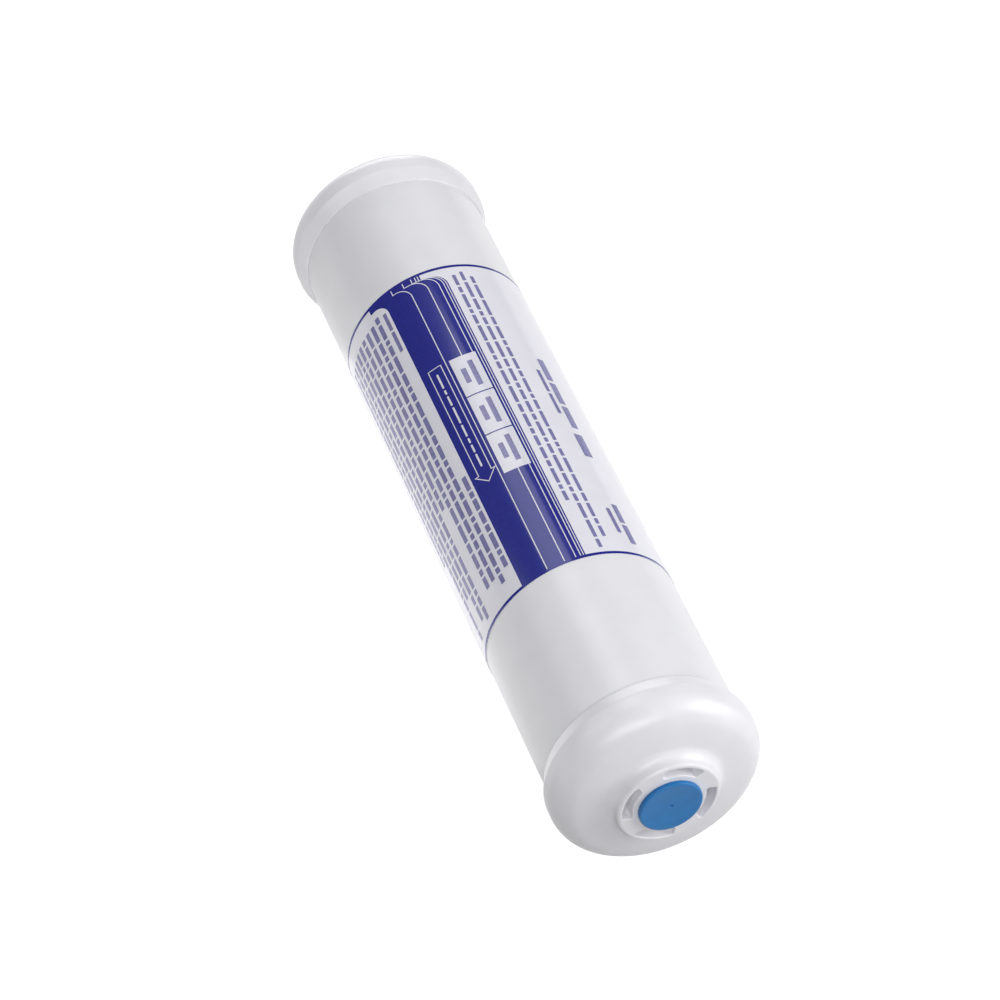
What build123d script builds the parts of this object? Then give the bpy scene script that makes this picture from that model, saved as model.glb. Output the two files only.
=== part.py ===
from build123d import *
import math
import os

# In-line water filter cartridge: a plastic tube with a welded cap at each end, a carbon block
# inside and a push-in plug in the outlet port. Each piece is drawn about the cartridge's own axis,
# with z along it from the middle of the tube, positive towards the outlet. At the end the cartridge
# is laid down with its axis along Y and the outlet at -Y. All sizes are in millimetres.

# Housing tube
tube_od = 50.8
tube_wall = 2.6
tube_length = 203.0

# End caps, alike on the outside
skirt_wall = 1.95
skirt_lip = 0.4
skirt_overlap = 6.0
skirt_taper_length = 4.0
skirt_above_tube = 0.5
skirt_radius = 1.5
cap_wall = 4.0
rim_radius = 6.8
rim_arc_deg = 75.0
dome_rise = 1.05

# Boss round each port
boss_d = 26.4
boss_draft = 0.7
boss_height = 3.5
boss_edge_radius = 1.2
boss_fillet = 3.0

# Ports, at the core size of a quarter-inch pipe thread
port_d = 11.4
port_length = 13.0
port_chamfer = 1.0
port_ring_wall = 2.8

# Arc slots that lighten the boss, turned about the axis as the cartridge lies
slot_width = 2.8
slot_depth = 5.0
slot_count = 4
slot_arc_deg = 56.0
slot_roll_deg = 18.0

# Push-in plug
plug_head_d = 16.4
plug_head_height = 1.3
plug_head_radius = 0.5
plug_face_land = 0.15
plug_dish_depth = 0.4
plug_stem_length = 10.0
plug_stem_wall = 1.6
plug_hollow_stop = 0.8
plug_stem_chamfer = 0.8
plug_clearance = 0.05

# Label film
label_length = 112.0
label_offset = -3.5
label_thickness = 0.1

# Carbon block and its wrap
block_bore_d = 12.0
wrap_thickness = 0.8

# Discs on the ends of the block, clear of the tube so that water passes
disc_gap = 1.2
disc_thickness = 2.5
disc_skirt_wall = 1.2
disc_skirt_length = 6.0
disc_clearance = 0.1
fin_count = 6
fin_thickness = 1.6
fin_clearance = 0.1
standoff_count = 4
standoff_height = 6.0
standoff_thickness = 2.0
standoff_clearance = 0.2

# Outlet spigot, the socket that takes it and its seals
spigot_d = 15.4
spigot_bore_d = 8.0
spigot_clearance = 0.3
spigot_socket_depth = 10.5
spigot_end_gap = 1.0
spigot_mouth_gap = 1.0
socket_wall = 2.0
seal_section_d = 2.1
seal_clearance = 0.05
seal_count = 2
seal_pitch = 4.4

# Radii and axial places that follow from the sizes above
tube_r = tube_od / 2
bore_r = tube_r - tube_wall
cap_r = tube_r + skirt_wall
port_r = port_d / 2
ring_r = port_r + port_ring_wall
boss_r = boss_d / 2
tube_end_z = tube_length / 2
rim_z = tube_end_z + skirt_above_tube
disc_r = bore_r - disc_gap
wrap_r = disc_r - disc_skirt_wall - disc_clearance
block_r = wrap_r - wrap_thickness
socket_r = spigot_d / 2 + spigot_clearance
seal_r = socket_r - seal_clearance - seal_section_d / 2


def turned(outline):
    """Solid of revolution about z from a closed outline drawn as radius and height."""
    return revolve(Plane.XZ * make_face(outline), axis=Axis.Z)


def tube_solid(outer_r, inner_r, low_z, high_z):
    """Plain tube between two heights."""
    ring = Circle(outer_r) - Circle(inner_r)
    return Pos(0, 0, low_z) * extrude(ring, high_z - low_z)


def rod(radius, low_z, high_z):
    """Plain round bar between two heights."""
    return Pos(0, 0, low_z) * extrude(Circle(radius), high_z - low_z)


def around(piece, count, start_deg=0.0):
    """Copies of a piece spread evenly round the axis."""
    return [Rot(0, 0, start_deg + 360 * i / count) * piece for i in range(count)]


def dome_places():
    """Ends of the rim's rounding and of the dome, and the dome's centre and radius."""
    turn = math.radians(rim_arc_deg)
    outward = Vector(math.cos(turn), math.sin(turn))
    rim_centre = Vector(cap_r - rim_radius, rim_z)
    dome_start = rim_centre + outward * rim_radius
    dome_end = Vector(boss_r + boss_draft, dome_start.Y + dome_rise)
    chord = dome_end - dome_start
    dome_radius = -(chord.length**2) / (2 * chord.dot(outward))
    dome_centre = dome_start - outward * dome_radius
    return rim_centre, outward, dome_start, dome_end, dome_centre, dome_radius


RIM_CENTRE, RIM_OUTWARD, DOME_START, DOME_END, DOME_CENTRE, DOME_RADIUS = dome_places()
face_z = DOME_END.Y + boss_height
port_end_z = face_z - port_length

# The dome's inside, and the height at which a tube under the dome is rooted in its wall
ROOF_RADIUS = DOME_RADIUS - cap_wall
ROOF_END = DOME_CENTRE + (DOME_END - DOME_CENTRE) * (ROOF_RADIUS / DOME_RADIUS)
root_z = ROOF_END.Y + cap_wall / 2


def arc_about(centre, start, end, radius):
    """Short arc of a given centre from one point to another."""
    middle = (start + end) * 0.5
    bulge = centre + (middle - centre).normalized() * abs(radius)
    return ThreePointArc(start, bulge, end)


def cap_outside():
    """Solid cap: tapered skirt, rounded rim, shallow dome and the boss with its fillet and rounded edge."""
    skirt_z = tube_end_z - skirt_overlap
    lip, shoulder = Vector(tube_r + skirt_lip, skirt_z), Vector(cap_r, skirt_z + skirt_taper_length)
    rim_start = Vector(cap_r, rim_z)
    boss_edge = Vector(boss_r, face_z)
    outline = [
        Line((0, skirt_z), lip),
        Line(lip, shoulder),
        Line(shoulder, rim_start),
        arc_about(RIM_CENTRE, rim_start, DOME_START, rim_radius),
        arc_about(DOME_CENTRE, DOME_START, DOME_END, DOME_RADIUS),
        Line(DOME_END, boss_edge),
        Line(boss_edge, (0, face_z)),
        Line((0, face_z), (0, skirt_z)),
    ]
    profile = make_face(outline)
    for corner, radius in (
        (shoulder, skirt_radius),
        (DOME_END, boss_fillet),
        (boss_edge, boss_edge_radius),
    ):
        profile = fillet(profile.vertices().sort_by_distance(corner)[0], radius)
    return revolve(Plane.XZ * profile, axis=Axis.Z)


def cap_hollow():
    """Room inside a cap: the tube's socket and the space under the dome."""
    hollow_r = cap_r - cap_wall
    inner_rim_radius = rim_radius - cap_wall
    rim_start = Vector(hollow_r, rim_z)
    dome_start = RIM_CENTRE + RIM_OUTWARD * inner_rim_radius
    outline = [
        Line((0, tube_end_z), (hollow_r, tube_end_z)),
        Line((hollow_r, tube_end_z), rim_start),
        arc_about(RIM_CENTRE, rim_start, dome_start, inner_rim_radius),
        arc_about(DOME_CENTRE, dome_start, ROOF_END, ROOF_RADIUS),
        Line(ROOF_END, (0, ROOF_END.Y)),
        Line((0, ROOF_END.Y), (0, tube_end_z)),
    ]
    return rod(tube_r, tube_end_z - skirt_overlap, tube_end_z) + turned(outline)


def slots():
    """Arc slots sunk in the boss's face round the port's ring."""
    section = Pos(ring_r + slot_width / 2, face_z - slot_depth / 2) * Rectangle(slot_width, slot_depth)
    slot = revolve(Plane.XZ * section, axis=Axis.Z, revolution_arc=slot_arc_deg)
    return around(slot, slot_count, 90 - slot_roll_deg - slot_arc_deg / 2)


def port_cutter():
    """Port bore with the lead-in at its mouth."""
    lead_in_z = face_z - port_chamfer
    mouth = [(0, face_z), (port_r + port_chamfer, face_z), (port_r, lead_in_z), (0, lead_in_z)]
    return rod(port_r, port_end_z, face_z) + turned(Polyline(*mouth, close=True))


def make_cap(inner_tube):
    """Cap with its slots and port, and a given tube under the dome round the port."""
    cap = cap_outside() - cap_hollow() + inner_tube - port_cutter()
    for slot in slots():
        cap -= slot
    return cap


def make_inlet_cap():
    """Inlet cap: the port's ring reaches in to the block's stand-off ribs."""
    return mirror(make_cap(rod(ring_r, port_end_z, root_z)), about=Plane.XY)


def make_outlet_cap():
    """Outlet cap: a socket under the port takes the block's spigot."""
    mouth_z = port_end_z - spigot_socket_depth
    socket = rod(socket_r + socket_wall, mouth_z, root_z)
    return make_cap(socket - rod(socket_r, mouth_z, port_end_z))


def make_plug():
    """Push-in plug: thin round head with a dished face on a hollow stem that fills the port's mouth."""
    stem_r = port_r - plug_clearance
    stem_end_z = face_z - plug_stem_length
    head_r = plug_head_d / 2
    dish_r = head_r - plug_head_radius - plug_face_land
    front_z = face_z + plug_head_height
    head_edge, head_corner = Vector(head_r, face_z), Vector(head_r, front_z)
    hollow_r = stem_r - plug_stem_wall
    hollow_end_z = face_z - plug_hollow_stop
    dish_radius = (dish_r**2 + plug_dish_depth**2) / (2 * plug_dish_depth)
    dish_centre = Vector(0, front_z - plug_dish_depth + dish_radius)
    dish_edge, dish_floor = Vector(dish_r, front_z), Vector(0, front_z - plug_dish_depth)
    outline = [
        Line((0, hollow_end_z), (hollow_r, hollow_end_z)),
        Line((hollow_r, hollow_end_z), (hollow_r, stem_end_z)),
        Line((hollow_r, stem_end_z), (stem_r - plug_stem_chamfer, stem_end_z)),
        Line((stem_r - plug_stem_chamfer, stem_end_z), (stem_r, stem_end_z + plug_stem_chamfer)),
        Line((stem_r, stem_end_z + plug_stem_chamfer), (stem_r, face_z)),
        Line((stem_r, face_z), head_edge),
        Line(head_edge, head_corner),
        Line(head_corner, dish_edge),
        arc_about(dish_centre, dish_edge, dish_floor, dish_radius),
        Line(dish_floor, (0, hollow_end_z)),
    ]
    profile = make_face(outline)
    profile = fillet(profile.vertices().sort_by_distance(head_corner)[0], plug_head_radius)
    return revolve(Plane.XZ * profile, axis=Axis.Z)


# Axial places of the block: held between the outlet socket and the inlet port's ring
spigot_tip_z = port_end_z - spigot_end_gap
outlet_disc_z = port_end_z - spigot_socket_depth - spigot_mouth_gap
block_high_z = outlet_disc_z - disc_thickness
inlet_disc_z = -port_end_z + standoff_clearance + standoff_height
block_low_z = inlet_disc_z + disc_thickness


def make_carbon_block():
    """Hollow block of bonded carbon."""
    return tube_solid(block_r, block_bore_d / 2, block_low_z, block_high_z)


def make_fleece_wrap():
    """Sleeve of sediment fleece round the block."""
    return tube_solid(wrap_r, block_r, block_low_z, block_high_z)


def fins(low_z, high_z):
    """Fins on a disc's skirt that centre the block in the tube."""
    reach = bore_r - fin_clearance
    root = disc_r - disc_skirt_wall / 2
    fin = Pos((root + reach) / 2, 0, (low_z + high_z) / 2) * Box(reach - root, fin_thickness, high_z - low_z)
    keep = rod(reach, low_z, high_z)
    return [copy & keep for copy in around(fin, fin_count)]


def cup(plate_z, block_z):
    """Disc over one end of the block: a plate from plate_z to block_z and a skirt round the wrap."""
    outward = 1 if plate_z > block_z else -1
    skirt_z = block_z - outward * disc_skirt_length
    low, high = sorted((plate_z, skirt_z))
    body = rod(disc_r, low, high)
    body -= rod(disc_r - disc_skirt_wall, *sorted((block_z, skirt_z)))
    for fin in fins(low, high):
        body += fin
    return body


def make_inlet_end_disc():
    """Closed disc with ribs that stand off from the inlet port, so water spreads between them."""
    disc = cup(inlet_disc_z, block_low_z)
    low_z = inlet_disc_z - standoff_height
    rib = Pos(ring_r / 2, 0, (low_z + inlet_disc_z) / 2) * Box(ring_r, standoff_thickness, standoff_height)
    for copy in around(rib, standoff_count):
        disc += copy
    return disc


def seal_places():
    """Heights of the seals, spread evenly about the middle of the spigot in its socket."""
    middle = (port_end_z - spigot_socket_depth + spigot_tip_z) / 2
    return [middle + seal_pitch * (i - (seal_count - 1) / 2) for i in range(seal_count)]


def make_outlet_end_disc():
    """Open disc with the grooved spigot that carries the water out through the cap."""
    disc = cup(outlet_disc_z, block_high_z)
    disc += rod(spigot_d / 2, outlet_disc_z, spigot_tip_z)
    disc -= rod(spigot_bore_d / 2, block_high_z, spigot_tip_z)
    groove_floor_r = seal_r - seal_section_d / 2
    for z in seal_places():
        disc -= tube_solid(spigot_d, groove_floor_r, z - seal_section_d / 2, z + seal_section_d / 2)
    return disc


def make_spigot_seals():
    """O-rings in the spigot's grooves, drawn as they sit in the socket."""
    ring = Torus(seal_r, seal_section_d / 2)
    return Compound(children=[Pos(0, 0, z) * ring for z in seal_places()])


def make_label():
    """Film wrapped round the tube, a little nearer the inlet."""
    low_z = label_offset - label_length / 2
    return tube_solid(tube_r + label_thickness, tube_r, low_z, low_z + label_length)


def make_housing_tube():
    """Extruded tube, seated in both caps."""
    return tube_solid(tube_r, bore_r, -tube_end_z, tube_end_z)


PIECES = {
    "housing_tube": make_housing_tube,
    "inlet_cap": make_inlet_cap,
    "outlet_cap": make_outlet_cap,
    "label": make_label,
    "outlet_plug": make_plug,
    "carbon_block": make_carbon_block,
    "fleece_wrap": make_fleece_wrap,
    "inlet_end_disc": make_inlet_end_disc,
    "outlet_end_disc": make_outlet_end_disc,
    "spigot_seals": make_spigot_seals,
}

# The cartridge lies on the rims of its caps, with the middle of its length at the origin
lying = Location((0, plug_head_height / 2, cap_r), (90, 0, 0))
os.makedirs("parts", exist_ok=True)
for name, make in PIECES.items():
    export_step(lying * make(), f"parts/{name}.step")
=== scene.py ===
"""Looks of an in-line water filter cartridge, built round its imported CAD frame.

The cartridge lies along Y with its plugged outlet at -Y and its open inlet at +Y. Angles round its
axis are taken from straight up and are positive towards +X. Distances along it, called along, are
taken from the middle of the tube towards either end.
"""
import math

import bmesh
import bpy
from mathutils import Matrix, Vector


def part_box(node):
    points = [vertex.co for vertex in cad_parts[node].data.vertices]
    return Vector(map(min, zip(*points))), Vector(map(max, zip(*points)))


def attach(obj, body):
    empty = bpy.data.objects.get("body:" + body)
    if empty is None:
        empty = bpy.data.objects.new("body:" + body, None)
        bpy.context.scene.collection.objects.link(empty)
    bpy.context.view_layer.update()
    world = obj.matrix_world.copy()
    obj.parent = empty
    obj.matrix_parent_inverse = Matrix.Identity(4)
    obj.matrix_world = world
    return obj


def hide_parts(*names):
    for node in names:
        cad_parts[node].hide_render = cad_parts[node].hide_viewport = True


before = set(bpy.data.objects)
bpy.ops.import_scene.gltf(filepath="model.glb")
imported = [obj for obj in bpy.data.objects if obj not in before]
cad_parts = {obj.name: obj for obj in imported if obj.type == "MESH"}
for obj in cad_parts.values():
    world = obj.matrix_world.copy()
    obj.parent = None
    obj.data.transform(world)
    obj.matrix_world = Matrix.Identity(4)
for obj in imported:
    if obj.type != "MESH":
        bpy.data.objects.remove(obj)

bl_info = {
    "name": "Water filter cartridge",
    "version": (1, 0, 0),
    "blender": (4, 5, 0),
    "location": "View3D > Sidebar > Cartridge",
    "description": "Dresses the packed cartridge with fine meshes, a printed label and a studio stage",
    "category": "Object",
}

MM = 0.001
# Signs of the two ends along Y
OUTLET, INLET = -1, 1
# Sides of the round pieces
SEGMENTS = 128
# Angles over which an edge is drawn sharp, in degrees
MOULDED_SHARP, TUBE_SHARP, FILM_SHARP = 38.0, 20.0, 30.0
# Widest step of the print round the axis, and the softening of its bars' ends
PRINT_STEP = math.radians(0.75)
SOFT_END = 0.15 * MM
# Least cosine that a printed line's mitre is divided by, which keeps its points short
MITRE_LIMIT = 0.3
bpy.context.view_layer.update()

# Places read from the frame
tube_low, tube_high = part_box("housing_tube")
inlet_low, inlet_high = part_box("inlet_cap")
outlet_low, outlet_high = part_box("outlet_cap")
label_low, label_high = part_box("label")
plug_low, plug_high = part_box("outlet_plug")
MIDDLE_Y = (tube_low.y + tube_high.y) / 2
AXIS_Z = (tube_low.z + tube_high.z) / 2
TUBE_R = (tube_high.x - tube_low.x) / 2
TUBE_END = (tube_high.y - tube_low.y) / 2
CAP_R = (inlet_high.x - inlet_low.x) / 2
SKIRT_EDGE = inlet_low.y - MIDDLE_Y
FACE = inlet_high.y - MIDDLE_Y
SOCKET_MOUTH = MIDDLE_Y - outlet_high.y
LABEL_R = (label_high.x - label_low.x) / 2
LABEL_LENGTH = label_high.y - label_low.y
PLUG_R = (plug_high.x - plug_low.x) / 2
PLUG_FRONT = MIDDLE_Y - plug_low.y
PLUG_STEM_END = MIDDLE_Y - plug_high.y


def linear(code):
    """Linear colour of an sRGB hex code such as "F2F2F4"."""
    parts = [int(code[i : i + 2], 16) / 255 for i in (0, 2, 4)]
    return [c / 12.92 if c <= 0.04045 else ((c + 0.055) / 1.055) ** 2.4 for c in parts]


def length(label, words, size_mm):
    """A length property whose default is given in millimetres."""
    return bpy.props.FloatProperty(
        name=label, description=words, default=size_mm * MM, unit="LENGTH", precision=5
    )


def turn(label, words, size_deg):
    """An angle property whose default is given in degrees."""
    return bpy.props.FloatProperty(
        name=label, description=words, default=math.radians(size_deg), subtype="ANGLE"
    )


def colour(label, words, code):
    """A colour property whose default is given as an sRGB hex code."""
    return bpy.props.FloatVectorProperty(
        name=label, description=words, default=linear(code), size=3, subtype="COLOR"
    )


def amount(label, words, value):
    """A plain number property."""
    return bpy.props.FloatProperty(name=label, description=words, default=value)


class TubeSizes(bpy.types.PropertyGroup):
    """Sizes of the extruded housing tube that its outside doesn't give"""

    wall: length("Wall", "Thickness of the tube's wall", 2.6)
    chamfer: length("Chamfer", "Chamfer at each end of the tube", 0.5)


class CapSizes(bpy.types.PropertyGroup):
    """Sizes of the two moulded end caps"""

    skirt_lip: length("Skirt lip", "Height of the skirt's edge over the tube", 0.4)
    lip_radius: length("Lip radius", "Rounding of the skirt's edge", 0.15)
    skirt_taper: length("Skirt taper", "Length of the tapered part of the skirt", 4.0)
    skirt_radius: length("Skirt radius", "Rounding where the taper meets the rim", 1.5)
    above_tube: length("Above tube", "How far the plain rim goes past the tube's end", 0.5)
    rim_radius: length("Rim radius", "Rounding from the rim to the dome", 6.8)
    rim_arc: turn("Rim arc", "Angle that the rim's rounding turns through", 75.0)
    dome_rise: length("Dome rise", "Rise of the dome from the rim to the boss", 1.05)
    wall: length("Wall", "Thickness of the cap under the dome", 4.0)
    boss_d: length("Boss", "Diameter of the boss's face", 26.4)
    boss_draft: length("Boss draft", "How much wider the boss is at its foot, each side", 0.7)
    boss_fillet: length("Boss fillet", "Hollow rounding at the boss's foot", 3.0)
    boss_edge: length("Boss edge", "Rounding of the boss's edge", 0.8)
    slot_inner: length("Slot inner edge", "Radius of the slots' inner edge", 9.6)
    slot_width: length("Slot width", "Width of the arc slots", 2.5)
    slot_depth: length("Slot depth", "Depth of the arc slots", 5.0)
    slot_corner: length("Slot corner", "Rounding of the slots' corners in plan", 0.7)
    slot_lip: length("Slot lip", "Rounding of the slots' edges", 0.25)
    slot_draft: length("Slot draft", "How much narrower a slot is at its floor, each side", 0.12)
    slot_arc: turn("Slot arc", "Angle that each slot spans", 56.0)
    slot_roll: turn("Slot roll", "Angle of the first slot from straight up", 18.0)
    slot_count: bpy.props.IntProperty(name="Slots", description="Number of slots round a port", default=4)
    port_d: length("Port", "Diameter over the crests of the port's thread", 11.4)
    port_depth: length("Port depth", "Depth of the port", 13.0)
    port_chamfer: length("Port chamfer", "Lead-in at the port's mouth", 1.0)
    port_ring_wall: length("Port ring", "Thickness of the ring round the port", 2.8)
    socket_d: length("Socket", "Bore of the socket under the outlet", 16.0)
    socket_wall: length("Socket wall", "Wall of the socket under the outlet", 2.0)
    thread_pitch: length("Thread pitch", "Pitch of the quarter-inch pipe thread", 25.4 / 18)
    thread_depth: length("Thread depth", "Depth of the thread at the mouth", 0.85)
    thread_taper: amount("Thread taper", "Loss of the thread's depth over the port's depth", 1 / 32)
    seam_land: length("Seam land", "Flat ring left beside a rounded edge on the boss's face", 0.03)


class LabelSizes(bpy.types.PropertyGroup):
    """Sizes of the wrap label and of the fields printed on it"""

    film: length("Film", "Thickness of the film", 0.1)
    glue: length("Glue", "Gap left for the glue under the film", 0.01)
    overlap: turn("Overlap", "Angle by which the film laps over its own start", 12.0)
    seam: turn("Seam", "Where the film starts, on the side away from the print", 168.0)
    ink: length("Ink", "Height of each layer of print", 0.012)
    end_line: length("End line", "Width of the line round each end", 0.9)
    band_low: turn("Band low", "Lower edge of the printed band", -38.2)
    band_high: turn("Band high", "Upper edge of the printed band", 1.8)
    jog_start: length("Jog start", "Distance from the outlet line where the band turns", 105.3)
    jog_radius: length("Jog radius", "Radius of that turn", 4.0)
    jog_low: turn("Jog low", "Lower edge of the band past its turn", -49.8)
    jog_high: turn("Jog high", "Upper edge of the band past its turn", -12.2)
    stripe: length("Stripe", "Width of the fine light stripes", 0.26)
    panel_start: length("Panel start", "Where the light panels start", 35.2)
    panel_end: length("Panel end", "Where the light panels end", 78.4)
    panel_low: turn("Panel low", "Lower edge of the panels", -19.0)
    panel_high: turn("Panel high", "Upper edge of the panels", -2.5)
    panel_count: bpy.props.IntProperty(name="Panels", description="Number of light panels", default=3)
    panel_gap: length("Panel gap", "Dark line between two panels", 0.4)
    arrow_tip: length("Arrow tip", "Where the flow arrow's tip is", 35.6)
    arrow_neck: length("Arrow neck", "Where the arrow's head meets its shaft", 38.8)
    arrow_tail: length("Arrow tail", "Where the arrow's shaft ends", 78.6)
    arrow_middle: turn("Arrow middle", "Angle of the arrow's middle line", -28.6)
    arrow_shaft: turn("Arrow shaft", "Half of the shaft's width, as an angle", 4.3)
    arrow_head: turn("Arrow head", "Half of the head's width, as an angle", 6.6)
    bar: length("Bar", "Height of the fine bars", 1.0)
    bold_bar: length("Bold bar", "Height of the bars below the band and in the panels", 1.4)
    bar_gap: length("Bar gap", "Space between two bars of a row", 0.7)
    arrow_bar: length("Arrow bar", "Height of the bars in the arrow", 0.55)
    arrow_margin: length("Arrow margin", "Space between those bars and the ends of the shaft", 2.3)


class PlugSizes(bpy.types.PropertyGroup):
    """Sizes of the push-in outlet plug"""

    head_radius: length("Head radius", "Rounding of the head's edge", 0.5)
    face_land: length("Face land", "Flat ring between the rounding and the dish", 0.15)
    dish_depth: length("Dish depth", "Depth of the shallow dish in the head", 0.4)
    gate_d: length("Gate", "Diameter of the pit left by the mould's gate", 1.3)
    gate_depth: length("Gate depth", "Depth of that pit", 0.35)
    head_edge: length("Head edge", "Break of the head's edge against the port", 0.2)
    centre_hole: length("Centre", "Radius of the small faces on the axis", 0.02)
    stem_d: length("Stem", "Diameter of the stem", 11.3)
    stem_wall: length("Stem wall", "Wall of the hollow stem", 1.6)
    stem_chamfer: length("Stem chamfer", "Lead-in at the stem's end", 0.8)
    hollow_stop: length("Hollow stop", "Where the stem's hollow stops under the head", 0.8)


class Finishes(bpy.types.PropertyGroup):
    """Colours of the materials"""

    tube: colour("Tube", "Extruded white polypropylene", "E4E4E8")
    cap: colour("Cap", "Moulded white polypropylene", "E5E4E9")
    film: colour("Film", "Pale label film", "E3E2EB")
    ink: colour("Ink", "Dark blue print", "1C2286")
    light_ink: colour("Light print", "Bare film left in the print", "DEDEE8")
    fine_ink: colour("Fine print", "Tint of the rows of fine bars", "7B79A8")
    paper: colour("Paper", "Studio paper under its own glow", "808080")
    plug: colour("Plug", "Moulded blue polyethylene", "1870B0")
    carbon: colour("Carbon", "Bonded activated carbon", "141414")
    fleece: colour("Fleece", "White spunbonded fleece", "ECECE8")
    disc: colour("Disc", "Natural polypropylene of the inner discs", "E2E1DA")
    rubber: colour("Rubber", "Moulded black rubber", "161616")


class StageSizes(bpy.types.PropertyGroup):
    """Camera, floor, card and room light"""

    centre: length("Centre", "How far the stage is centred from the tube's middle, towards the outlet", 1.65)
    azimuth: turn("Azimuth", "Camera's angle round the cartridge, from the outlet end", -19.7)
    elevation: turn("Elevation", "Camera's angle above the floor", 45.6)
    distance: length("Distance", "Camera's distance from the middle of the cartridge", 1018.0)
    aim_across: length("Aim across", "How far to the right of the middle the camera aims", -3.7)
    aim_up: length("Aim up", "How far above the middle the camera aims", -2.4)
    lens: amount("Lens", "Focal length on a 36 mm frame", 141.6)
    floor: length("Floor", "Side of the floor", 8000.0)
    floor_glow: amount("Floor glow", "Light that comes up through the white floor", 1.0)
    card_glow: amount("Card glow", "Light of the card that lies on the left, beside the tube", 1.5)
    room_light: amount("Room", "Even light from the room's walls", 0.096)


def settings(name):
    """The scene's property group of that name."""
    return getattr(bpy.context.scene, "cartridge_" + name)


# Shapes about the axis

def place(radius, angle, along, end):
    """Point at a radius and angle about the axis, a distance along it towards one end."""
    return Vector((radius * math.sin(angle), MIDDLE_Y + end * along, AXIS_Z + radius * math.cos(angle)))


def arc(centre, radius, start, stop, steps):
    """Points on an arc in the plane of radius and along, between two angles in radians."""
    angles = [start + (stop - start) * i / steps for i in range(steps + 1)]
    return [centre + Vector((math.cos(a), math.sin(a))) * radius for a in angles]


def bearing(vector):
    """Angle of a plane vector from the outward direction."""
    return math.atan2(vector.y, vector.x)


def rounded(before, corner, after, radius, steps=6):
    """Points of the rounding of a corner between two straight runs."""
    one, two = (before - corner).normalized(), (after - corner).normalized()
    half = one.angle(two) / 2
    centre = corner + (one + two).normalized() * (radius / math.sin(half))
    start = bearing(corner + one * (radius / math.tan(half)) - centre)
    stop = bearing(corner + two * (radius / math.tan(half)) - centre)
    sweep = (stop - start + math.pi) % (2 * math.pi) - math.pi
    return arc(centre, radius, start, start + sweep, steps)


def rings(bm, rows, end, count=SEGMENTS):
    """Rings of vertices round the axis, one for each point of an outline."""
    angles = [2 * math.pi * i / count for i in range(count)]
    return [[bm.verts.new(place(row.x, a, row.y, end)) for a in angles] for row in rows]


def skin(bm, loops):
    """Faces between each closed loop and the next."""
    for low, high in zip(loops, loops[1:]):
        for i in range(len(low)):
            j = (i + 1) % len(low)
            bm.faces.new((low[i], low[j], high[j], high[i]))


def loop_edges(bm, loop):
    """Edges of a closed loop of vertices."""
    found = []
    for i, vert in enumerate(loop):
        pair = (vert, loop[(i + 1) % len(loop)])
        found.append(bm.edges.get(pair) or bm.edges.new(pair))
    return found


def finish_piece(bm, name, material, body, replaced=None, sharp_deg=MOULDED_SHARP):
    """Turns a bmesh into a piece that rides on a body and may stand for a CAD node."""
    bmesh.ops.recalc_face_normals(bm, faces=bm.faces[:])
    mesh = bpy.data.meshes.new(name)
    bm.to_mesh(mesh)
    bm.free()
    mesh.shade_smooth()
    mesh.set_sharp_from_angle(angle=math.radians(sharp_deg))
    mesh.materials.append(material)
    piece = bpy.data.objects.new(name, mesh)
    bpy.context.scene.collection.objects.link(piece)
    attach(piece, body)
    if replaced:
        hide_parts(replaced)
    return piece


# Materials

def add_node(tree, kind, settings_of=(), inputs=(), links=()):
    """Adds a node with its settings, its unlinked inputs and its links from other nodes' outputs."""
    node = tree.nodes.new(kind)
    for name, value in dict(settings_of).items():
        setattr(node, name, value)
    for name, value in dict(inputs).items():
        node.inputs[name].default_value = value
    for name, output in dict(links).items():
        tree.links.new(output, node.inputs[name])
    return node


def new_material(name, shader):
    """A material with one principled shader, and its node tree, shader and object coordinates."""
    material = bpy.data.materials.new(name)
    material.use_nodes = True
    tree = material.node_tree
    tree.nodes.clear()
    bsdf = add_node(tree, "ShaderNodeBsdfPrincipled", inputs=shader)
    add_node(tree, "ShaderNodeOutputMaterial", links={"Surface": bsdf.outputs["BSDF"]})
    coords = add_node(tree, "ShaderNodeTexCoord")
    return material, tree, bsdf, coords.outputs["Object"]


def mottled(tree, coords, bsdf, tint, spread, size_mm):
    """Varies the base colour a little about its tint, in patches of a given size."""
    patches = {"Scale": 1 / (size_mm * MM), "Detail": 2.0}
    noise = add_node(tree, "ShaderNodeTexNoise", inputs=patches, links={"Vector": coords})
    ramp = add_node(tree, "ShaderNodeValToRGB", links={"Fac": noise.outputs["Fac"]})
    ramp.color_ramp.interpolation = "EASE"
    for element, share in zip(ramp.color_ramp.elements, (1 - 2 * spread, 1 + 2 * spread)):
        element.color = (*[min(1.0, c * share) for c in tint], 1.0)
    tree.links.new(ramp.outputs["Color"], bsdf.inputs["Base Color"])


def finished(tree, bsdf, pattern, roughness, relief_mm, strength):
    """Lets one pattern set the roughness, between two values, and a relief of a given height."""
    span = {"To Min": roughness[0], "To Max": roughness[1]}
    spread = add_node(tree, "ShaderNodeMapRange", inputs=span, links={"Value": pattern})
    tree.links.new(spread.outputs["Result"], bsdf.inputs["Roughness"])
    relief = {"Strength": strength, "Distance": relief_mm * MM}
    bump = add_node(tree, "ShaderNodeBump", inputs=relief, links={"Height": pattern})
    tree.links.new(bump.outputs["Normal"], bsdf.inputs["Normal"])


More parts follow.
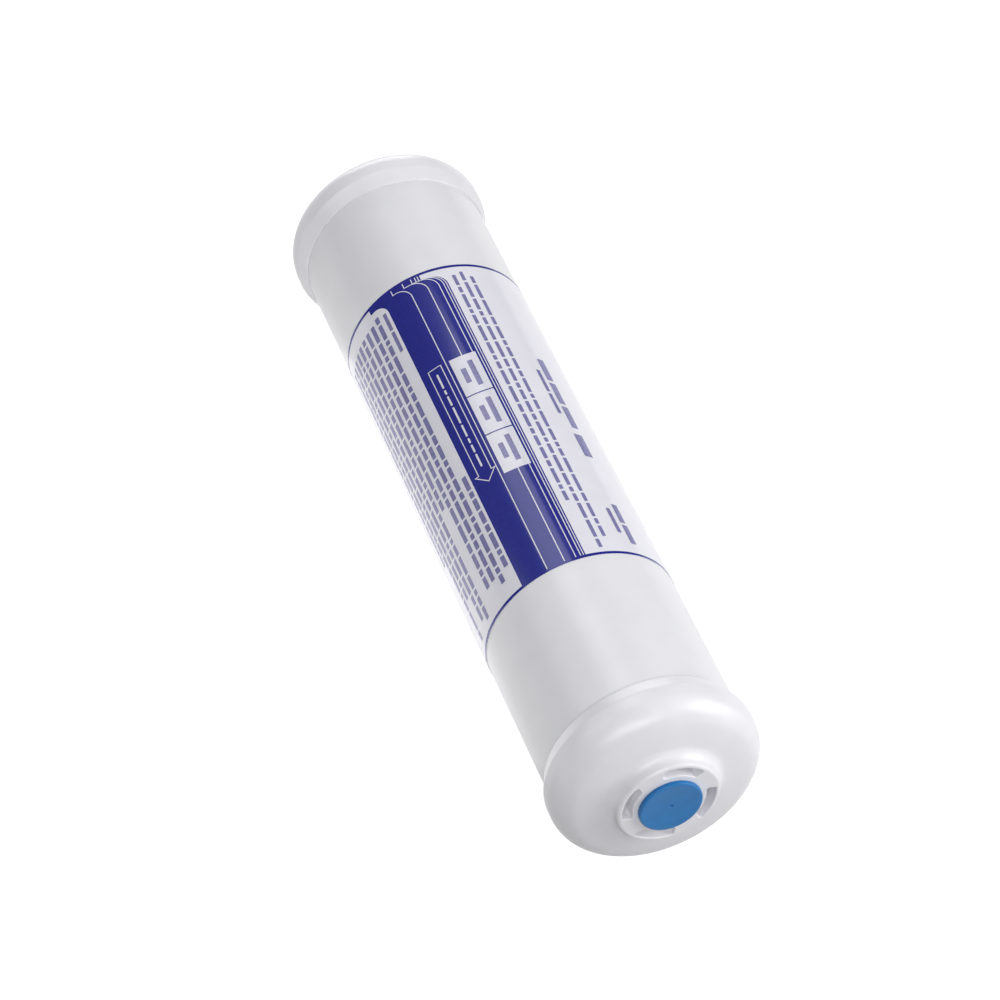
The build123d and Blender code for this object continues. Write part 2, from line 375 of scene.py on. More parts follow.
def extruded_polypropylene():
    """White polypropylene tube. The die leaves faint lines along it, and the skin has a soft gloss."""
    material, tree, bsdf, coords = new_material("extruded_polypropylene", {
        "IOR": 1.49, "Subsurface Weight": 0.12,
        "Subsurface Radius": (0.004, 0.004, 0.004), "Subsurface Scale": 0.5,
    })
    mottled(tree, coords, bsdf, settings("finishes").tube, spread=0.012, size_mm=9.0)
    drawn_out = {"Scale": (1.0, 0.01, 1.0)}
    lengthwise = add_node(tree, "ShaderNodeMapping", inputs=drawn_out, links={"Vector": coords})
    die = {"Scale": 1 / (2.5 * MM), "Detail": 1.0}
    lines = add_node(tree, "ShaderNodeTexNoise", inputs=die, links={"Vector": lengthwise.outputs["Vector"]})
    finished(tree, bsdf, lines.outputs["Fac"], roughness=(0.29, 0.35), relief_mm=0.002, strength=0.05)
    return material


def moulded_polypropylene():
    """White polypropylene cap. A polished mould gives it a soft gloss like the tube's, slightly rippled."""
    material, tree, bsdf, coords = new_material("moulded_polypropylene", {
        "IOR": 1.49, "Subsurface Weight": 0.12,
        "Subsurface Radius": (0.004, 0.004, 0.0042), "Subsurface Scale": 0.5,
    })
    mottled(tree, coords, bsdf, settings("finishes").cap, spread=0.012, size_mm=6.0)
    flow = {"Scale": 1 / (9.0 * MM), "Detail": 0.0}
    ripple = add_node(tree, "ShaderNodeTexNoise", inputs=flow, links={"Vector": coords})
    finished(tree, bsdf, ripple.outputs["Fac"], roughness=(0.29, 0.35), relief_mm=0.02, strength=0.2)
    return material


def polypropylene_film():
    """Pale polypropylene film, wrapped and glued. It lies a little uneven under a clear, glossy face."""
    gloss = {"IOR": 1.49, "Specular IOR Level": 0.15, "Coat Weight": 0.55, "Coat Roughness": 0.12}
    material, tree, bsdf, coords = new_material("polypropylene_film", gloss)
    mottled(tree, coords, bsdf, settings("finishes").film, spread=0.015, size_mm=7.0)
    lay = {"Scale": 1 / (12.0 * MM), "Detail": 1.0}
    uneven = add_node(tree, "ShaderNodeTexNoise", inputs=lay, links={"Vector": coords})
    finished(tree, bsdf, uneven.outputs["Fac"], roughness=(0.34, 0.44), relief_mm=0.05, strength=0.2)
    return material


def printed_ink(name, tint, spread):
    """Roller-printed ink under the film's gloss: an even coat with a fine mottle where it lies thinner."""
    gloss = {"IOR": 1.5, "Specular IOR Level": 0.15, "Coat Weight": 0.55, "Coat Roughness": 0.12}
    material, tree, bsdf, coords = new_material(name, gloss)
    mottled(tree, coords, bsdf, tint, spread, size_mm=0.9)
    coat = {"Scale": 1 / (0.6 * MM), "Detail": 2.0}
    grain = add_node(tree, "ShaderNodeTexNoise", inputs=coat, links={"Vector": coords})
    finished(tree, bsdf, grain.outputs["Fac"], roughness=(0.36, 0.46), relief_mm=0.004, strength=0.2)
    return material


def moulded_polyethylene():
    """Blue low-density polyethylene plug. Soft, waxy skin that light enters a little."""
    material, tree, bsdf, coords = new_material("moulded_polyethylene", {
        "IOR": 1.51, "Specular IOR Level": 0.35, "Subsurface Weight": 0.15,
        "Subsurface Radius": (0.0006, 0.0012, 0.003), "Subsurface Scale": 0.5,
    })
    mottled(tree, coords, bsdf, settings("finishes").plug, spread=0.05, size_mm=3.0)
    waxy = {"Scale": 1 / (0.5 * MM), "Detail": 2.0}
    grain = add_node(tree, "ShaderNodeTexNoise", inputs=waxy, links={"Vector": coords})
    finished(tree, bsdf, grain.outputs["Fac"], roughness=(0.38, 0.5), relief_mm=0.015, strength=0.3)
    return material


def bonded_carbon():
    """Activated carbon grains sintered with a binder. Dull black, pitted between the grains."""
    material, tree, bsdf, coords = new_material("bonded_carbon", {"IOR": 1.5, "Specular IOR Level": 0.3})
    mottled(tree, coords, bsdf, settings("finishes").carbon, spread=0.4, size_mm=0.6)
    grit = {"Scale": 1 / (0.5 * MM)}
    grains = add_node(tree, "ShaderNodeTexVoronoi", inputs=grit, links={"Vector": coords})
    finished(tree, bsdf, grains.outputs["Distance"], roughness=(0.75, 0.95), relief_mm=0.15, strength=0.8)
    return material


def spunbonded_fleece():
    """Polypropylene fibres melted together into a soft white sheet, with a matt, fibrous surface."""
    material, tree, bsdf, coords = new_material("spunbonded_fleece", {"IOR": 1.49, "Sheen Weight": 0.3})
    mottled(tree, coords, bsdf, settings("finishes").fleece, spread=0.05, size_mm=1.5)
    tangle = {"Scale": 1 / (0.25 * MM), "Detail": 4.0, "Distortion": 2.0}
    fibres = add_node(tree, "ShaderNodeTexNoise", inputs=tangle, links={"Vector": coords})
    finished(tree, bsdf, fibres.outputs["Fac"], roughness=(0.85, 0.95), relief_mm=0.1, strength=0.7)
    return material


def natural_polypropylene():
    """Unpigmented moulded polypropylene of the inner discs. Milky, with a matt mould texture."""
    material, tree, bsdf, coords = new_material("natural_polypropylene", {
        "IOR": 1.49, "Subsurface Weight": 0.3,
        "Subsurface Radius": (0.004, 0.004, 0.0035), "Subsurface Scale": 0.5,
    })
    mottled(tree, coords, bsdf, settings("finishes").disc, spread=0.02, size_mm=4.0)
    matt = {"Scale": 1 / (0.4 * MM), "Detail": 2.0}
    grain = add_node(tree, "ShaderNodeTexNoise", inputs=matt, links={"Vector": coords})
    finished(tree, bsdf, grain.outputs["Fac"], roughness=(0.42, 0.55), relief_mm=0.01, strength=0.4)
    return material


def moulded_rubber():
    """Black nitrile rubber rings, moulded and lightly greased, so dull and shiny patches mix."""
    material, tree, bsdf, coords = new_material("moulded_rubber", {"IOR": 1.52})
    mottled(tree, coords, bsdf, settings("finishes").rubber, spread=0.15, size_mm=1.0)
    grease = {"Scale": 1 / (0.8 * MM), "Detail": 2.0}
    bloom = add_node(tree, "ShaderNodeTexNoise", inputs=grease, links={"Vector": coords})
    finished(tree, bsdf, bloom.outputs["Fac"], roughness=(0.4, 0.6), relief_mm=0.01, strength=0.2)
    return material


def studio_paper(glow):
    """White translucent paper, lit from below so that it comes out plain white."""
    material, tree, bsdf, coords = new_material("studio_paper", {
        "Specular IOR Level": 0.0, "Emission Color": (1.0, 1.0, 1.0, 1.0), "Emission Strength": glow,
    })
    mottled(tree, coords, bsdf, settings("finishes").paper, spread=0.01, size_mm=30.0)
    pulp = {"Scale": 1 / (2.0 * MM)}
    fibres = add_node(tree, "ShaderNodeTexNoise", inputs=pulp, links={"Vector": coords})
    finished(tree, bsdf, fibres.outputs["Fac"], roughness=(0.85, 0.95), relief_mm=0.02, strength=0.1)
    return material


# Outlines of the pieces

def cap_outside(cap):
    """Outline of a cap from the skirt's edge to the rim of the boss's face."""
    inner_edge, lip = Vector((TUBE_R, SKIRT_EDGE)), Vector((TUBE_R + cap.skirt_lip, SKIRT_EDGE))
    shoulder = Vector((CAP_R, SKIRT_EDGE + cap.skirt_taper))
    rim_centre = Vector((CAP_R - cap.rim_radius, TUBE_END + cap.above_tube))
    outward = Vector((math.cos(cap.rim_arc), math.sin(cap.rim_arc)))
    dome_start = rim_centre + outward * cap.rim_radius
    dome_end = Vector((cap.boss_d / 2 + cap.boss_draft, dome_start.y + cap.dome_rise))
    chord = dome_end - dome_start
    dome_radius = -chord.length_squared / (2 * chord.dot(outward))
    dome_centre = dome_start - outward * dome_radius
    boss_edge = Vector((cap.boss_d / 2, FACE))
    up_boss = (boss_edge - dome_end).normalized()
    off_boss = Vector((up_boss.y, -up_boss.x))
    from_dome = dome_end + off_boss * cap.boss_fillet - dome_centre
    reach = dome_radius + cap.boss_fillet
    rise = -from_dome.dot(up_boss)
    rise += math.sqrt(rise**2 - from_dome.length_squared + reach**2)
    fillet_centre = dome_centre + from_dome + up_boss * rise
    off_dome = (fillet_centre - dome_centre).normalized()
    rows = rounded(inner_edge, lip, shoulder, cap.lip_radius, steps=4)
    rows += rounded(lip, shoulder, rim_centre + Vector((cap.rim_radius, 0)), cap.skirt_radius)
    rows += arc(rim_centre, cap.rim_radius, 0, cap.rim_arc, steps=16)
    rows += arc(dome_centre, dome_radius, cap.rim_arc, bearing(off_dome), steps=6)[1:]
    fillet_start = bearing(-off_dome) % (2 * math.pi)
    fillet_stop = bearing(-off_boss) % (2 * math.pi)
    rows += arc(fillet_centre, cap.boss_fillet, fillet_start, fillet_stop, steps=12)[1:]
    rows += rounded(dome_end, boss_edge, Vector((0, FACE)), cap.boss_edge, steps=8)
    rows.append(rows[-1] - Vector((cap.seam_land, 0)))
    return rows, dome_centre, dome_radius, rim_centre, dome_end


def cap_inside(cap, end):
    """Outline of a cap's inside, from the port's inner end to the skirt's edge."""
    _, dome_centre, dome_radius, rim_centre, dome_end = cap_outside(cap)
    ring_r = cap.port_d / 2 + cap.port_ring_wall
    port_end = FACE - cap.port_depth
    roof_radius = dome_radius - cap.wall
    roof_end = dome_centre + (dome_end - dome_centre) * (roof_radius / dome_radius)
    hollow_r = CAP_R - cap.wall
    if end == INLET:
        rows = [(ring_r, port_end), (ring_r, roof_end.y)]
    else:
        socket_r = cap.socket_d / 2
        rows = [(socket_r, port_end), (socket_r, SOCKET_MOUTH)]
        rows += [(socket_r + cap.socket_wall, SOCKET_MOUTH), (socket_r + cap.socket_wall, roof_end.y)]
    rows += [roof_end]
    rows += arc(dome_centre, roof_radius, bearing(roof_end - dome_centre), cap.rim_arc, steps=4)[1:]
    rows += arc(rim_centre, cap.rim_radius - cap.wall, cap.rim_arc, 0, steps=6)
    rows += [(hollow_r, TUBE_END), (TUBE_R, TUBE_END), (TUBE_R, SKIRT_EDGE)]
    return [Vector(row) for row in rows]


# Groove of the thread: its height before its root is cut flat, and the slope of its flanks, in thread depths
GROOVE_HEIGHT, GROOVE_SLOPE = 1.15, 2.75
# Plain stretch at the port's inner end, in pitches
THREAD_STOP = 0.5


def thread_radius(cap, depth, clockwise):
    """Radius of the port's wall at a depth under its mouth, with its right-hand thread and lead-in."""
    turns = (depth / cap.thread_pitch - clockwise / (2 * math.pi)) % 1.0
    # A vee groove with a narrow flat at its root and at the crest
    groove = min(1.0, max(0.0, GROOVE_HEIGHT - GROOVE_SLOPE * abs(turns - 0.5)))
    run_out = min(1.0, max(0.0, (cap.port_depth - depth) / cap.thread_pitch - THREAD_STOP))
    cut = groove * max(0.0, cap.thread_depth - depth * cap.thread_taper) * run_out
    return cap.port_d / 2 + max(cut, cap.port_chamfer - depth)


def thread_rings(bm, cap, end, rows=128):
    """Rings of the threaded wall, from the mouth to the port's inner end."""
    angles = [2 * math.pi * i / SEGMENTS for i in range(SEGMENTS)]
    made = []
    for j in range(rows + 1):
        depth = cap.port_depth * j / rows
        ring = [place(thread_radius(cap, depth, -end * a), a, FACE - depth, end) for a in angles]
        made.append([bm.verts.new(point) for point in ring])
    return made


def slot_loop(bm, cap, middle, inset, depth, end, arc_steps=16, corner_steps=5):
    """Closed loop of an arc slot's wall at a depth, drawn in from the slot's edge by an inset."""
    low = cap.slot_inner + inset
    high = low + cap.slot_width - 2 * inset
    corner = max(cap.slot_corner - inset, cap.slot_lip / 2)
    points = []
    for radius, side in ((high, 1), (low, -1)):
        half = cap.slot_arc / 2 - (inset + corner) / radius
        for i in range(arc_steps + 1):
            points.append((radius, middle + side * half * (2 * i / arc_steps - 1)))
        for i in range(1, corner_steps + 1):
            a = math.pi / 2 * i / corner_steps
            reach = half + corner * math.sin(a) / radius
            points.append((radius - side * corner * (1 - math.cos(a)), middle + side * reach))
    return [bm.verts.new(place(r, a, FACE - depth, end)) for r, a in points]


def slot_rows(cap, steps=4):
    """Inset and depth of each loop down a slot: rounded lip, drafted wall and rounded floor."""
    lip = cap.slot_lip
    quarter = [math.pi / 2 * i / steps for i in range(steps + 1)]
    rows = [(-lip - cap.seam_land, 0.0)]
    rows += [(-lip * (1 - math.sin(a)), lip * (1 - math.cos(a))) for a in quarter]
    for a in quarter:
        rows.append((cap.slot_draft + lip * (1 - math.cos(a)), cap.slot_depth - lip * (1 - math.sin(a))))
    return rows


def build_cap(name, node, end, material):
    """One cap: turned outside and inside, threaded port and slotted boss face."""
    cap = settings("caps")
    bm = bmesh.new()
    outside = rings(bm, cap_outside(cap)[0], end)
    inside = rings(bm, cap_inside(cap, end), end)
    wall = thread_rings(bm, cap, end)
    skin(bm, outside)
    skin(bm, wall + inside + outside[:1])
    borders = loop_edges(bm, outside[-1]) + loop_edges(bm, wall[0])
    for i in range(cap.slot_count):
        middle = cap.slot_roll + 2 * math.pi * i / cap.slot_count
        loops = [slot_loop(bm, cap, middle, inset, depth, end) for inset, depth in slot_rows(cap)]
        skin(bm, loops)
        bm.faces.new(loops[-1])
        borders += loop_edges(bm, loops[0])
    bmesh.ops.triangle_fill(bm, edges=borders, use_beauty=True)
    return finish_piece(bm, name, material, "cartridge", node)


# Label and print

# Light stripes along the band: angle, and angle past the band's turn, in degrees
STRIPES = ((-21.2, -31.5), (-10.6, -23.5), (-3.9, -17.9), (-1.0, -15.3), (0.7, -13.6))
# Rows of fine bars: angle in degrees, then start and stop from the outlet line in millimetres
FINE_ROWS = (
    (7.0, 20.0, 108.0), (12.3, 2.5, 109.0), (17.7, 5.0, 107.0), (-41.5, 8.0, 42.0), (-47.5, 2.5, 107.0),
    (-53.0, 9.0, 106.0), (-58.5, 6.0, 106.0), (-64.0, 40.0, 106.0), (-69.5, 3.0, 106.0), (-75.0, 5.0, 106.0),
    (-80.5, 12.0, 106.0), (-86.0, 3.0, 106.0), (-91.5, 30.0, 106.0),
)
# Lengths of the bars along a row, in millimetres, taken in turn
BARS_MM = (4.2, 2.3, 5.4, 1.6, 3.6, 6.1, 4.4, 1.8, 2.8, 5.5, 6.2, 3.1, 4.9, 2.0, 3.8)
# Places in that list where each row starts after the row before it, and where the arrow's row starts
ROW_SHIFT, ARROW_SHIFT = 4, 2
# Half lengths of the upper and the lower bar in a panel, as shares of the panel's length
PANEL_BARS = (0.33, 0.19)
# Heading bars: angle in degrees, start and stop from the outlet line and height in millimetres
HEADING_BARS = (
    (37.5, 66.6, 75.0, 2.2), (37.5, 57.4, 65.6, 2.2), (37.5, 48.0, 56.4, 2.2), (31.0, 61.5, 70.0, 1.1),
    (31.0, 53.0, 60.7, 1.1), (36.5, 37.0, 45.5, 2.8), (36.0, 12.2, 19.0, 1.8), (36.0, 4.5, 11.4, 1.8),
    (29.5, 8.0, 17.0, 1.2), (-41.5, 99.4, 106.0, 1.1), (-41.5, 91.0, 98.7, 1.1),
)


class Print:
    """Flat print laid on the film, drawn as distance from the outlet line and angle about the axis."""

    def __init__(self, layer):
        self.bm = bmesh.new()
        self.radius = LABEL_R + layer * settings("label").ink

    def point(self, run, angle):
        """Vertex of the print at a distance and an angle."""
        return self.bm.verts.new(place(self.radius, angle, run + label_low.y - MIDDLE_Y, INLET))

    def field(self, rows):
        """Field between two edges, given as rows of (distance, lower angle, upper angle)."""
        widest = max(high - low for _, low, high in rows)
        columns = max(1, math.ceil(widest / PRINT_STEP))
        grid = []
        for run, low, high in rows:
            grid.append([self.point(run, low + (high - low) * i / columns) for i in range(columns + 1)])
        for one, two in zip(grid, grid[1:]):
            for i in range(columns):
                self.bm.faces.new((one[i], one[i + 1], two[i + 1], two[i]))

    def block(self, start, stop, low, high):
        """Plain rectangle."""
        self.field([(start, low, high), (stop, low, high)])

    def bar(self, start, stop, angle, height):
        """Bar along the axis with softened ends."""
        half = height / 2 / self.radius
        soft = min(SOFT_END, height / 4)
        nose = half - soft / self.radius
        self.field([
            (start, angle - nose, angle + nose), (start + soft, angle - half, angle + half),
            (stop - soft, angle - half, angle + half), (stop, angle - nose, angle + nose),
        ])

    def row(self, start, stop, angle, height, gap, turn_in):
        """Row of bars of mixed lengths, from one end of the row to the other."""
        here = stop
        while here > start + 2 * height:
            size = min(BARS_MM[turn_in % len(BARS_MM)] * MM, here - start)
            self.bar(here - size, here, angle, height)
            here -= size + gap
            turn_in += 1

    def line(self, path, width):
        """Line of a given width along a path of (distance, angle) points, mitred at its corners."""
        flat = [Vector((run, angle * self.radius)) for run, angle in path]
        fine = flat[:1]
        for here, ahead in zip(flat, flat[1:]):
            steps = max(1, math.ceil(abs(ahead.y - here.y) / (PRINT_STEP * self.radius)))
            fine += [here.lerp(ahead, i / steps) for i in range(1, steps + 1)]
        closed = (fine[0] - fine[-1]).length < width / 10
        runs = [(two - one).normalized() for one, two in zip(fine, fine[1:])]
        sides = []
        for i, here in enumerate(fine):
            before = runs[i - 1] if i or closed else runs[0]
            after = runs[i % len(runs)] if i < len(runs) or closed else runs[-1]
            along = (before + after).normalized()
            across = Vector((-along.y, along.x))
            reach = width / 2 / max(MITRE_LIMIT, along.dot(before))
            pair = (here + across * reach, here - across * reach)
            sides.append([self.point(p.x, p.y / self.radius) for p in pair])
        for one, two in zip(sides, sides[1:]):
            self.bm.faces.new((one[0], one[1], two[1], two[0]))

    def done(self, name, material):
        """Turns the print into a piece on the cartridge."""
        return finish_piece(self.bm, name, material, "cartridge")


def jog(label, angle, past):
    """Path of a stripe from the outlet line that turns near the inlet line and goes on at another angle."""
    steps = 8
    path = [(label.end_line, angle)]
    drop = label.jog_radius / LABEL_R
    for i in range(steps + 1):
        a = math.pi / 2 * i / steps
        path.append((label.jog_start + label.jog_radius * math.sin(a), angle - drop * (1 - math.cos(a))))
    path.append((label.jog_start + label.jog_radius, past))
    path.append((LABEL_LENGTH - label.end_line, past))
    return path


# Operators

class CARTRIDGE_OT_tube(bpy.types.Operator):
    """Builds the extruded housing tube with its chamfered ends"""

    bl_idname = "cartridge.tube"
    bl_label = "Housing tube"

    def execute(self, context):
        tube = settings("tube")
        bore, edge = TUBE_R - tube.wall, TUBE_R - tube.chamfer
        rows = [
            (bore, -TUBE_END), (edge, -TUBE_END), (TUBE_R, tube.chamfer - TUBE_END),
            (TUBE_R, TUBE_END - tube.chamfer), (edge, TUBE_END), (bore, TUBE_END),
        ]
        bm = bmesh.new()
        loops = rings(bm, [Vector(row) for row in rows], INLET, 2 * SEGMENTS)
        skin(bm, loops + loops[:1])
        material = extruded_polypropylene()
        finish_piece(bm, "tube", material, "cartridge", "housing_tube", TUBE_SHARP)
        return {"FINISHED"}


class CARTRIDGE_OT_caps(bpy.types.Operator):
    """Builds both end caps with their slotted bosses and threaded ports"""

    bl_idname = "cartridge.caps"
    bl_label = "End caps"

    def execute(self, context):
        material = moulded_polypropylene()
        build_cap("cap_outlet", "outlet_cap", OUTLET, material)
        build_cap("cap_inlet", "inlet_cap", INLET, material)
        return {"FINISHED"}


class CARTRIDGE_OT_film(bpy.types.Operator):
    """Builds the wrapped label film, which laps over its own start"""

    bl_idname = "cartridge.film"
    bl_label = "Label film"

    def execute(self, context):
        label = settings("label")
        bm = bmesh.new()
        steps = 2 * SEGMENTS
        sweep = 2 * math.pi + label.overlap
        ends = (label_low.y - MIDDLE_Y, label_high.y - MIDDLE_Y)
        columns = []
        for i in range(steps + 1):
            angle = sweep * i / steps
            lapped = min(1.0, max(0.0, (angle - 2 * math.pi + label.overlap / 2) / (label.overlap / 2)))
            outer = LABEL_R + lapped * label.film
            inner = outer - label.film + label.glue
            corners = [(inner, ends[0]), (outer, ends[0]), (outer, ends[1]), (inner, ends[1])]
            columns.append([bm.verts.new(place(r, label.seam + angle, y, INLET)) for r, y in corners])
        skin(bm, columns)
        bm.faces.new(columns[0])
        bm.faces.new(columns[-1])
        finish_piece(bm, "film", polypropylene_film(), "cartridge", "label", FILM_SHARP)
        return {"FINISHED"}


class CARTRIDGE_OT_print(bpy.types.Operator):
    """Prints the label: end lines, band, stripes, panels, flow arrow and rows of fine bars"""

    bl_idname = "cartridge.print"
    bl_label = "Label print"

    def dark_print(self, label, look):
        """End lines and band."""
        dark = Print(layer=1)
        for start in (0.0, LABEL_LENGTH - label.end_line):
            dark.block(start, start + label.end_line, 0.0, 2 * math.pi)
        low = jog(label, label.band_low, label.jog_low)
        high = jog(label, label.band_high, label.jog_high)
        dark.field([(one[0], one[1], two[1]) for one, two in zip(low, high)])
        return dark.done("print_dark", printed_ink("dark_blue_print", look.ink, spread=0.08))

    def light_print(self, label, look):
        """Stripes, flow arrow and panels on the band."""
        light = Print(layer=2)
        for angle, past in STRIPES:
            path = jog(label, math.radians(angle), math.radians(past))
            if label.panel_low < math.radians(angle) < label.panel_high:
                light.line([path[0], (label.panel_start, path[0][1])], label.stripe)
                path[0] = (label.panel_end, path[0][1])
            light.line(path, label.stripe)
        middle, shaft, head = label.arrow_middle, label.arrow_shaft, label.arrow_head
        light.line([
            (label.arrow_tip, middle), (label.arrow_neck, middle + head), (label.arrow_neck, middle + shaft),
            (label.arrow_tail, middle + shaft), (label.arrow_tail, middle - shaft),
            (label.arrow_neck, middle - shaft), (label.arrow_neck, middle - head), (label.arrow_tip, middle),
        ], label.stripe)
        start, stop = label.arrow_neck + label.arrow_margin, label.arrow_tail - label.arrow_margin
        light.row(start, stop, middle, label.arrow_bar, label.bar_gap, ARROW_SHIFT)
        step = (label.panel_end - label.panel_start + label.panel_gap) / label.panel_count
        for i in range(label.panel_count):
            start = label.panel_start + i * step
            light.block(start, start + step - label.panel_gap, label.panel_low, label.panel_high)
        return light.done("print_light", printed_ink("light_print", look.light_ink, spread=0.02))

    def fine_print(self, label, look):
        """Rows of fine bars, heading bars and the bars in the panels."""
        fine = Print(layer=3)
        for n, (angle, start, stop) in enumerate(FINE_ROWS):
            height = label.bar if angle > 0 else label.bold_bar
            fine.row(start * MM, stop * MM, math.radians(angle), height, label.bar_gap, ROW_SHIFT * n)
        for angle, start, stop, height in HEADING_BARS:
            fine.bar(start * MM, stop * MM, math.radians(angle), height * MM)
        panel = (label.panel_end - label.panel_start) / label.panel_count
        rise = (label.panel_high - label.panel_low) / (len(PANEL_BARS) + 1)
        for i in range(label.panel_count):
            middle = label.panel_start + panel * (i + 0.5)
            for angle, share in zip((label.panel_high - rise, label.panel_low + rise), PANEL_BARS):
                fine.bar(middle - panel * share, middle + panel * share, angle, label.bold_bar)
        return fine.done("print_fine", printed_ink("fine_print", look.fine_ink, spread=0.12))

    def execute(self, context):
        label, look = settings("label"), settings("finishes")
        self.dark_print(label, look)
        self.light_print(label, look)
        self.fine_print(label, look)
        return {"FINISHED"}


# Gate pit: shoulder and floor as shares of its radius, and the shoulder's rise as a share of its depth
GATE_SHOULDER, GATE_FLOOR, GATE_RISE = 0.8, 0.5, 0.45


class CARTRIDGE_OT_plug(bpy.types.Operator):
    """Builds the push-in plug with its dished head, gate pit and hollow stem"""

    bl_idname = "cartridge.plug"
    bl_label = "Outlet plug"

    def execute(self, context):
        plug = settings("plug")
        stem_r = plug.stem_d / 2
        hollow_r = stem_r - plug.stem_wall
        hollow_end = FACE - plug.hollow_stop
        corner = Vector((PLUG_R, PLUG_FRONT))
        dish_r = PLUG_R - plug.head_radius - plug.face_land
        dish_radius = (dish_r**2 + plug.dish_depth**2) / (2 * plug.dish_depth)
        dish_centre = Vector((0, PLUG_FRONT - plug.dish_depth + dish_radius))
        gate_r = plug.gate_d / 2
        rows = [Vector(row) for row in (
            (plug.centre_hole, hollow_end), (hollow_r, hollow_end), (hollow_r, PLUG_STEM_END),
            (stem_r - plug.stem_chamfer, PLUG_STEM_END), (stem_r, PLUG_STEM_END + plug.stem_chamfer),
            (stem_r, FACE),
        )]
        rows += [Vector((PLUG_R - plug.head_edge, FACE)), Vector((PLUG_R, FACE + plug.head_edge))]
        rows += rounded(Vector((PLUG_R, FACE)), corner, Vector((0, PLUG_FRONT)), plug.head_radius, steps=12)
        rim_turn = math.asin(dish_r / dish_radius)
        gate_turn = math.asin(gate_r / dish_radius)
        rows += arc(dish_centre, dish_radius, -math.pi / 2 + rim_turn, -math.pi / 2 + gate_turn, steps=12)
        floor = rows[-1].y - plug.gate_depth
        rows.append(Vector((gate_r * GATE_SHOULDER, floor + plug.gate_depth * GATE_RISE)))
        rows += [Vector((gate_r * GATE_FLOOR, floor)), Vector((plug.centre_hole, floor))]
        bm = bmesh.new()
        loops = rings(bm, rows, OUTLET)
        skin(bm, loops)
        bm.faces.new(loops[0])
        bm.faces.new(loops[-1])
        finish_piece(bm, "plug", moulded_polyethylene(), "plug", "outlet_plug")
        return {"FINISHED"}


class CARTRIDGE_OT_inside(bpy.types.Operator):
    """Gives the pieces inside the tube their materials"""

    bl_idname = "cartridge.inside"
    bl_label = "Inner pieces"

    def execute(self, context):
        disc = natural_polypropylene()
        finishes = {
            "carbon_block": bonded_carbon(), "fleece_wrap": spunbonded_fleece(), "inlet_end_disc": disc,
            "outlet_end_disc": disc, "spigot_seals": moulded_rubber(),
        }
        for node, material in finishes.items():
            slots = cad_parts[node].data.materials
            slots.clear()
            slots.append(material)
        return {"FINISHED"}


# Soft boxes: name, width and height in metres, power in watts, place from the cartridge's middle in metres
LIGHTS = (
    ("right_side", (0.6, 0.6), 6.1, (0.745, -0.366, 0.347)),
    ("front", (0.7, 0.4), 4.2, (-0.19, -0.73, 0.49)),
    ("left_back", (0.5, 0.5), 1.7, (-0.60, 0.28, 0.60)),
    ("behind", (0.35, 0.42), 1.6, (-0.10, 0.42, 0.74)),
    ("back", (0.6, 0.4), 3.0, (0.15, 0.93, 0.20)),
)
# White card on the floor beside the tube: its corners and its height in metres
CARD = ((-0.085, -0.07), (-0.028, 0.09), 0.0005)
# Width of the camera's frame in millimetres, and the nearest and farthest that it sees in metres
FRAME_WIDTH, NEAREST, FARTHEST = 36.0, 0.05, 50.0


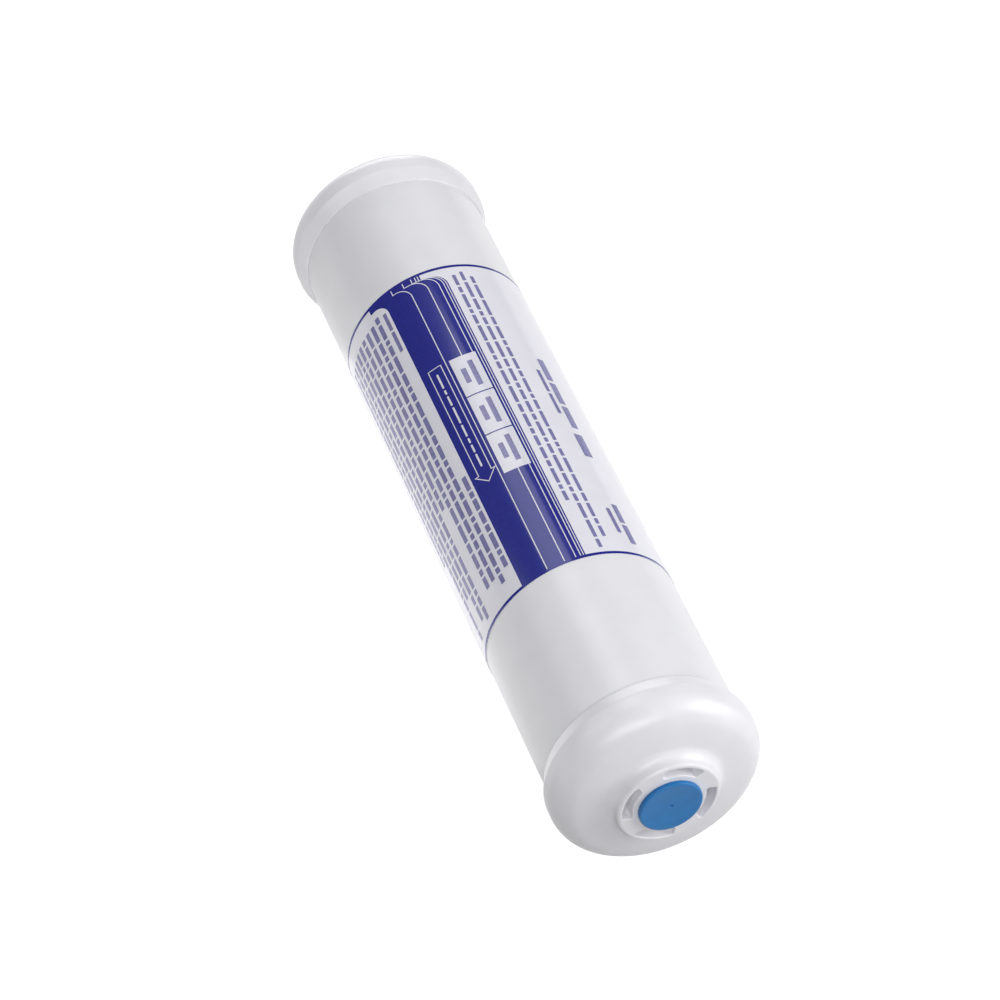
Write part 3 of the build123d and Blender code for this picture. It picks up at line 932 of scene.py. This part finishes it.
class CARTRIDGE_OT_stage(bpy.types.Operator):
    """Sets the floor, the card, the lights and the camera"""

    bl_idname = "cartridge.stage"
    bl_label = "Stage"

    def add_light(self, name, size, power, where, aim):
        """Adds a soft box that faces the aim."""
        data = bpy.data.lights.new(name, "AREA")
        data.shape = "RECTANGLE"
        data.size, data.size_y = size
        data.energy = power
        light = bpy.data.objects.new(name, data)
        light.location = where
        light.rotation_euler = (aim - where).to_track_quat("-Z", "Y").to_euler()
        bpy.context.scene.collection.objects.link(light)

    def add_paper(self, name, low, high, height, glow):
        """Adds a flat sheet of paper between two corners."""
        bm = bmesh.new()
        corners = (low, (high[0], low[1]), high, (low[0], high[1]))
        bm.faces.new([bm.verts.new((x, y, height)) for x, y in corners])
        mesh = bpy.data.meshes.new(name)
        bm.to_mesh(mesh)
        bm.free()
        mesh.materials.append(studio_paper(glow))
        paper = bpy.data.objects.new(name, mesh)
        bpy.context.scene.collection.objects.link(paper)
        return paper

    def execute(self, context):
        stage = settings("stage")
        scene = context.scene
        half = stage.floor / 2
        floor = self.add_paper("floor", (-half, -half), (half, half), 0.0, stage.floor_glow)
        # The floor shows white, but the cartridge is lit by the soft boxes and the card and not by the floor
        floor.visible_diffuse = False
        card = self.add_paper("card", *CARD, stage.card_glow)
        card.visible_camera = False

        world = bpy.data.worlds.new("studio")
        world.use_nodes = True
        background = world.node_tree.nodes["Background"]
        background.inputs["Color"].default_value = (1.0, 1.0, 1.0, 1.0)
        background.inputs["Strength"].default_value = stage.room_light
        scene.world = world

        middle = Vector((0, MIDDLE_Y - stage.centre, AXIS_Z))
        for name, size, power, where in LIGHTS:
            self.add_light(name, size, power, middle + Vector(where), middle)

        a, e = stage.azimuth, stage.elevation
        back = Vector((math.sin(a) * math.cos(e), -math.cos(a) * math.cos(e), math.sin(e)))
        right = (-back).cross(Vector((0, 0, 1))).normalized()
        up = right.cross(-back)
        data = bpy.data.cameras.new("camera")
        data.lens, data.sensor_width = stage.lens, FRAME_WIDTH
        data.clip_start, data.clip_end = NEAREST, FARTHEST
        camera = bpy.data.objects.new("camera", data)
        camera.location = middle + back * stage.distance
        aim = middle + right * stage.aim_across + up * stage.aim_up
        camera.rotation_euler = (aim - camera.location).to_track_quat("-Z", "Y").to_euler()
        scene.collection.objects.link(camera)
        scene.camera = camera
        scene.view_settings.view_transform = "Standard"
        return {"FINISHED"}


class CARTRIDGE_PT_panel(bpy.types.Panel):
    """Lists the cartridge's operators"""

    bl_idname = "CARTRIDGE_PT_panel"
    bl_label = "Water filter cartridge"
    bl_space_type = "VIEW_3D"
    bl_region_type = "UI"
    bl_category = "Cartridge"

    def draw(self, context):
        for operator in OPERATORS:
            self.layout.operator(operator.bl_idname)


GROUPS = {
    "tube": TubeSizes, "caps": CapSizes, "label": LabelSizes, "plug": PlugSizes, "finishes": Finishes,
    "stage": StageSizes,
}
OPERATORS = (
    CARTRIDGE_OT_tube, CARTRIDGE_OT_caps, CARTRIDGE_OT_film, CARTRIDGE_OT_print, CARTRIDGE_OT_plug,
    CARTRIDGE_OT_inside, CARTRIDGE_OT_stage,
)


def register():
    """Registers the sizes, the operators and the panel."""
    for group in GROUPS.values():
        bpy.utils.register_class(group)
    for name, group in GROUPS.items():
        setattr(bpy.types.Scene, "cartridge_" + name, bpy.props.PointerProperty(type=group))
    for kind in (*OPERATORS, CARTRIDGE_PT_panel):
        bpy.utils.register_class(kind)


def unregister():
    """Takes away what register added."""
    for kind in (CARTRIDGE_PT_panel, *reversed(OPERATORS)):
        bpy.utils.unregister_class(kind)
    for name, group in GROUPS.items():
        delattr(bpy.types.Scene, "cartridge_" + name)
        bpy.utils.unregister_class(group)


def main():
    register()
    bpy.ops.cartridge.tube()
    bpy.ops.cartridge.caps()
    bpy.ops.cartridge.film()
    bpy.ops.cartridge.print()
    bpy.ops.cartridge.plug()
    bpy.ops.cartridge.inside()
    bpy.ops.cartridge.stage()


if __name__ == "__main__":
    main()
